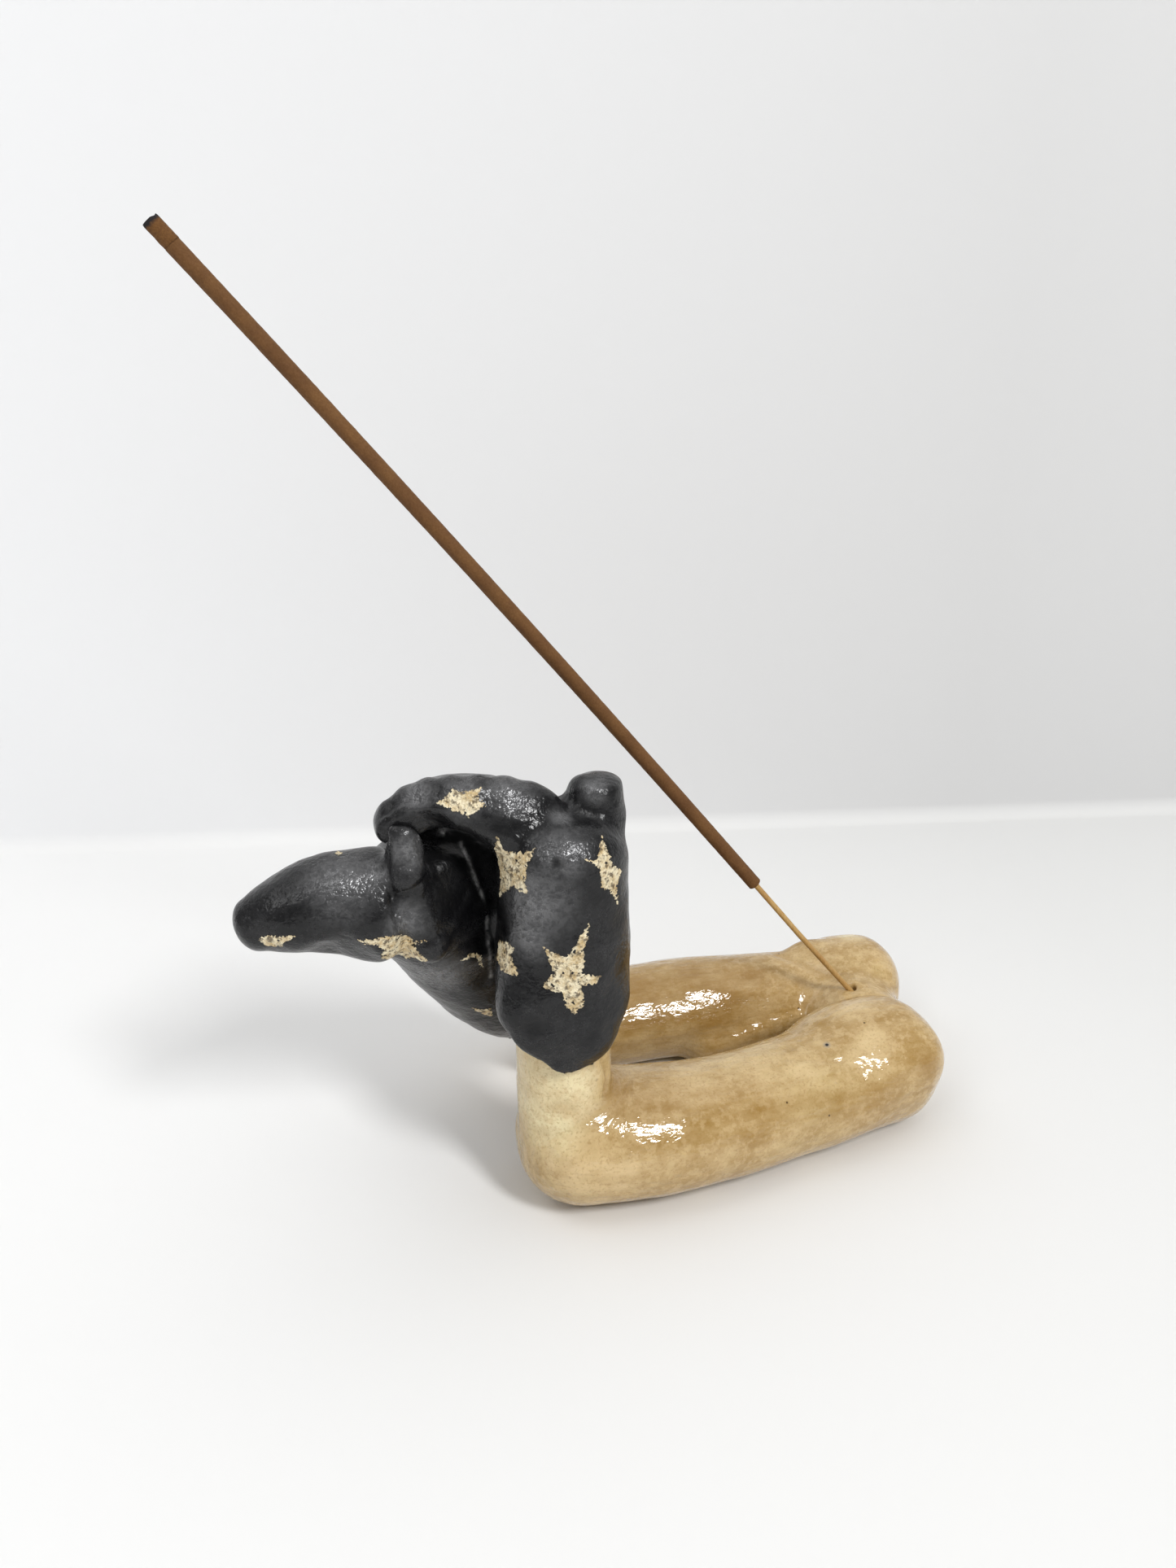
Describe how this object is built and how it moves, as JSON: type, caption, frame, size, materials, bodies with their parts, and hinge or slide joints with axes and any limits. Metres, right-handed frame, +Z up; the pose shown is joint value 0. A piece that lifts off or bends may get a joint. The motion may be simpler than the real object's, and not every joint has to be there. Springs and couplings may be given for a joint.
{
  "type": "incense burner",
  "caption": "Ceramic incense burner shaped as a pair of prone legs in starred black boots, with a stick of incense leaning from a hole between the hips.",
  "frame": {"origin": "on the table, straight below the mouth of the stick's hole", "axes": "+X along the legs from the knees to the hips, +Y across them from the near leg to the far one, +Z up"},
  "size_m": [0.2014, 0.0923, 0.2283],
  "materials": {
    "cream_glaze": "glossy",
    "black_glaze": "satin",
    "gold_leaf": "matte",
    "bamboo": "bare",
    "incense": "matte",
    "char": "matte"
  },
  "bodies": {
    "burner": {"near_hip": "cream_glaze", "near_thigh": "cream_glaze", "near_calf": "cream_glaze", "far_hip": "cream_glaze", "far_thigh": "cream_glaze", "far_calf": "cream_glaze", "hip_bridge": "cream_glaze", "near_boot_shaft": "black_glaze", "near_boot_foot": "black_glaze", "near_boot_heel": "black_glaze", "far_boot_shaft": "black_glaze", "far_boot_foot": "black_glaze", "far_boot_heel": "black_glaze", "near_boot_stars": "gold_leaf", "far_boot_stars": "gold_leaf"},
    "stick": {"bamboo_core": "bamboo", "incense_coating": "incense", "charred_tip": "char"}
  },
  "joints": [
    {"name": "stick_slide", "type": "slide", "parent": "burner", "child": "stick", "axis": [-0.6474, 0.051, 0.7604], "range_m": [0, 0.014]}
  ]
}
